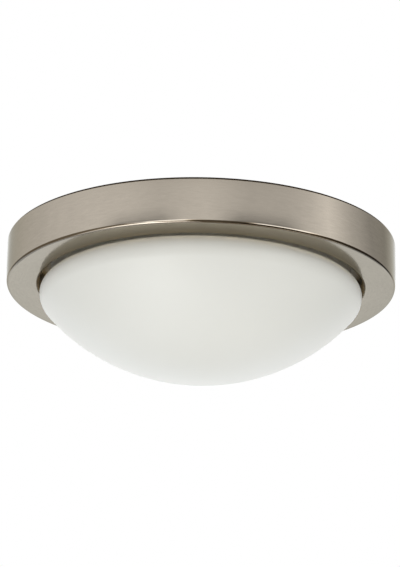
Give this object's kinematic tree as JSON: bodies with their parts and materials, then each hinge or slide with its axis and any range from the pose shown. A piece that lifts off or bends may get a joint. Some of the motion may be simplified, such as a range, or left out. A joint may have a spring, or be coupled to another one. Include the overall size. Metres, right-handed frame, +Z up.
{
  "type": "flush ceiling light",
  "caption": "Round flush ceiling light: brushed nickel drum with a flat underside ring, a shallow opal glass bowl held by springs, screw-in lamps and a strap for a ceiling box.",
  "frame": {"origin": "on the light's vertical axis in the ceiling plane, at the middle of the strap's box-screw slots", "axes": "+Z up into the ceiling, +X along the mounting strap and the lamps, the light hangs to -Z"},
  "size_m": [0.33, 0.33, 0.1151],
  "materials": {
    "nickel": "brushed satin nickel plate on steel",
    "white_enamel": "white baked enamel",
    "insulation": "pressed glass-fibre felt",
    "zinc_steel": "bright zinc plate",
    "spring_steel": "polished spring steel",
    "green_steel": "green-dyed zinc plate",
    "black_nylon": "moulded, matte",
    "white_nylon": "moulded, matte",
    "brass": "bright stamped brass",
    "porcelain": "white glaze",
    "silicone": "soft matte silicone",
    "black_wire": "insulated wire",
    "white_wire": "insulated wire",
    "green_wire": "insulated wire",
    "opal_glass": "white opal glass, satin etched",
    "lamp_glass": "white coated glass",
    "lamp_aluminium": "rolled thread shell",
    "black_glass": "fused black glass",
    "solder": "tinned"
  },
  "bodies": {
    "housing": {"drum_ring": "nickel", "back_plate": "white_enamel", "plate_rivets": "nickel", "insulation_pad": "insulation", "mounting_strap": "zinc_steel", "ground_screw": "green_steel", "mounting_screws": "zinc_steel", "cap_nuts": "nickel", "inlet_bushing": "black_nylon", "terminal_block": "white_nylon", "terminal_screws": "brass", "terminal_fixing_screw": "zinc_steel", "earth_screw": "green_steel", "bracket_screws": "zinc_steel", "holder_screws": "zinc_steel", "live_leads": "black_wire", "neutral_leads": "white_wire", "earth_lead": "green_wire", "spring_screws": "zinc_steel", "shade_gasket": "silicone", "shade_spring_1": "spring_steel", "shade_spring_2": "spring_steel", "shade_spring_3": "spring_steel", "holder_bracket_1": "zinc_steel", "lamp_holder_1": "porcelain", "screw_shell_1": "brass", "centre_contact_1": "brass", "holder_bracket_2": "zinc_steel", "lamp_holder_2": "porcelain", "screw_shell_2": "brass", "centre_contact_2": "brass"},
    "shade": {"glass_shade": "opal_glass"},
    "lamp_1": {"lamp_globe_1": "lamp_glass", "lamp_cap_1": "lamp_aluminium", "lamp_insulator_1": "black_glass", "lamp_tip_1": "solder"},
    "lamp_2": {"lamp_globe_2": "lamp_glass", "lamp_cap_2": "lamp_aluminium", "lamp_insulator_2": "black_glass", "lamp_tip_2": "solder"}
  },
  "joints": [
    {"name": "shade_drop", "type": "slide", "parent": "housing", "child": "shade", "axis": [0, 0, -1], "range_m": [0, 0.12], "deforming": ["shade_spring_1", "shade_spring_2", "shade_spring_3"]},
    {"name": "lamp_1_turn", "type": "hinge", "parent": "housing", "child": "lamp_1", "pos_m": [-0.08888, -0.039, -0.049], "axis": [1, 0, 0], "range_deg": [0, 1080]},
    {"name": "lamp_2_turn", "type": "hinge", "parent": "housing", "child": "lamp_2", "pos_m": [0.08888, 0.039, -0.049], "axis": [-1, 0, 0], "range_deg": [0, 1080]}
  ]
}
